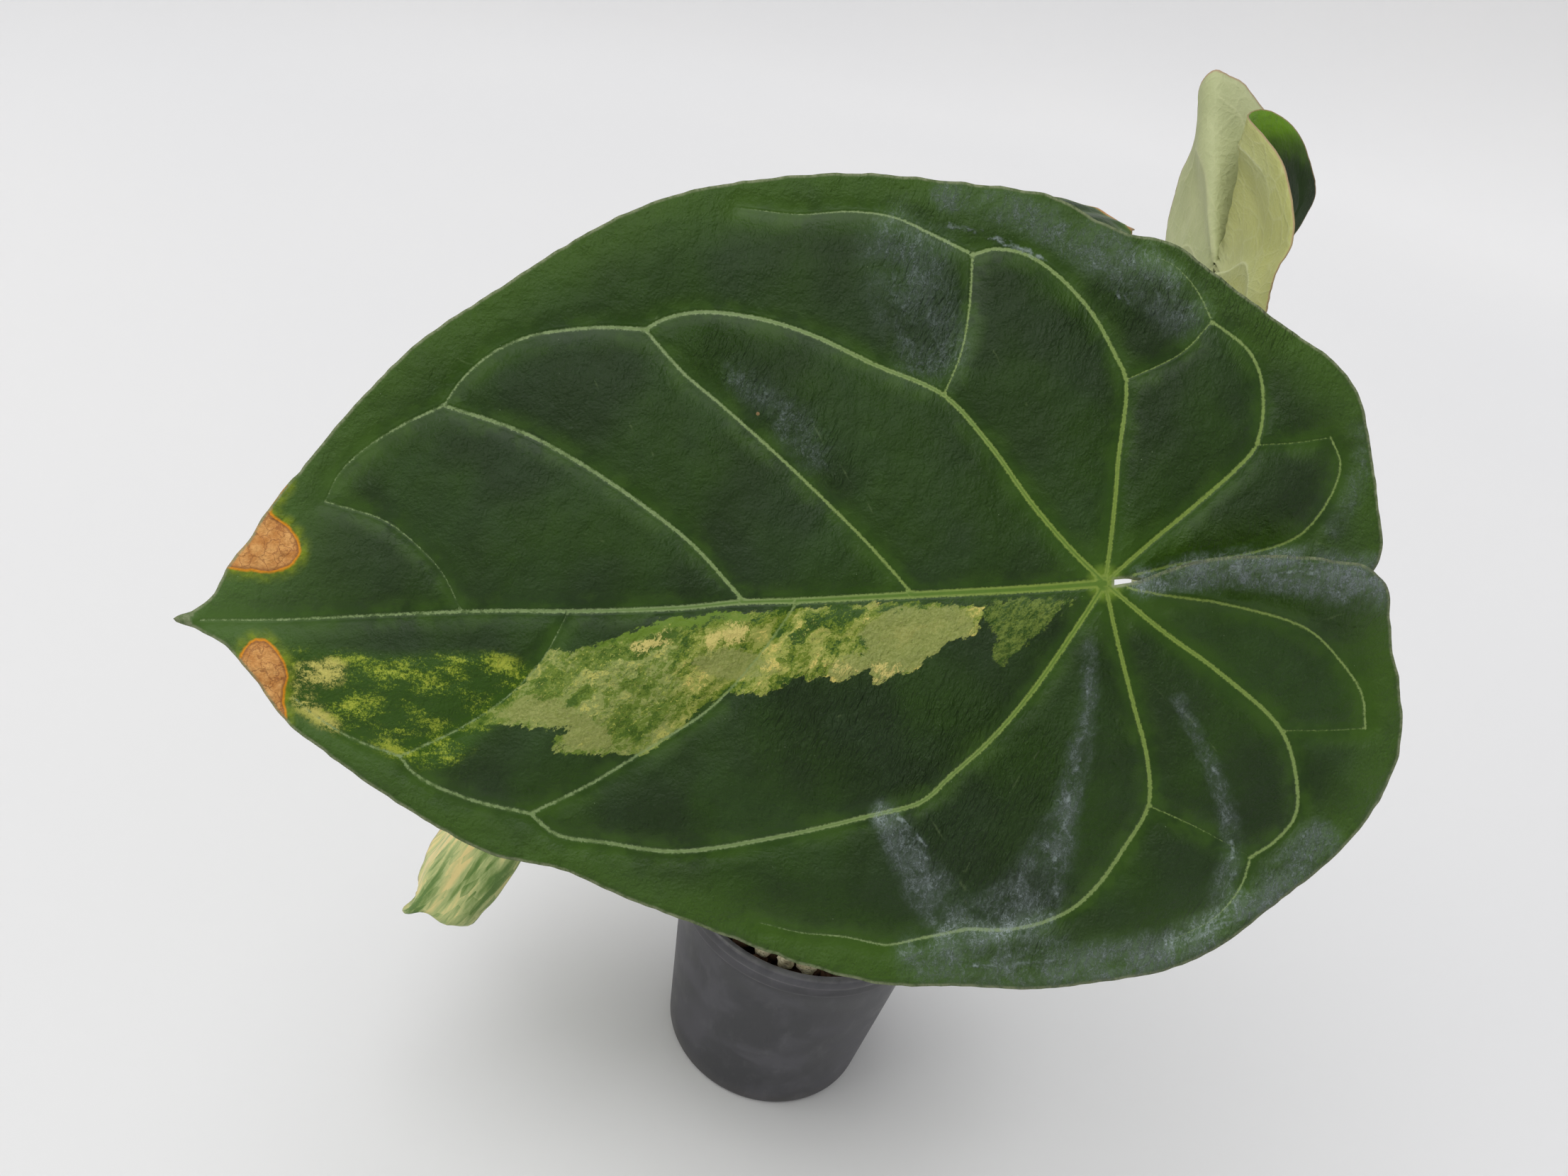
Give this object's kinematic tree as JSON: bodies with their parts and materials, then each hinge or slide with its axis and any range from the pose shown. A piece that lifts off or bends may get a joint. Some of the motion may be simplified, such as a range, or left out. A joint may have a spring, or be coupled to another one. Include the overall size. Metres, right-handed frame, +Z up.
{
  "type": "potted house plant",
  "caption": "Potted aroid with a broad heart-shaped veined leaf that faces forward, smaller leaves behind it, long petioles and a round black nursery pot.",
  "frame": {"origin": "centre of the pot's underside, where the pot stands on a surface", "axes": "+Z up along the pot's axis, -Y towards the side that the big leaf faces, +X to the right seen from that side"},
  "size_m": [0.3324, 0.2896, 0.4516],
  "materials": {
    "leaf_dark": "satin",
    "leaf_pale": "matte",
    "leaf_variegated": "satin",
    "petiole": "satin",
    "bract": "matte",
    "stem": "matte",
    "soil": "matte",
    "pumice": "matte",
    "pot": "satin"
  },
  "bodies": {
    "root": {"pumice_1": "pumice", "pumice_2": "pumice", "pumice_3": "pumice", "pumice_4": "pumice", "pumice_5": "pumice", "pumice_6": "pumice", "pumice_7": "pumice", "leaf_big": "leaf_dark", "petiole_big": "petiole", "leaf_upper_right": "leaf_pale", "petiole_upper_right": "petiole", "leaf_behind": "leaf_dark", "petiole_behind": "petiole", "leaf_lower_left": "leaf_variegated", "petiole_lower_left": "petiole", "bract_1": "bract", "bract_2": "bract", "bract_3": "bract", "stem": "stem", "soil": "soil", "pot": "pot"}
  },
  "joints": []
}
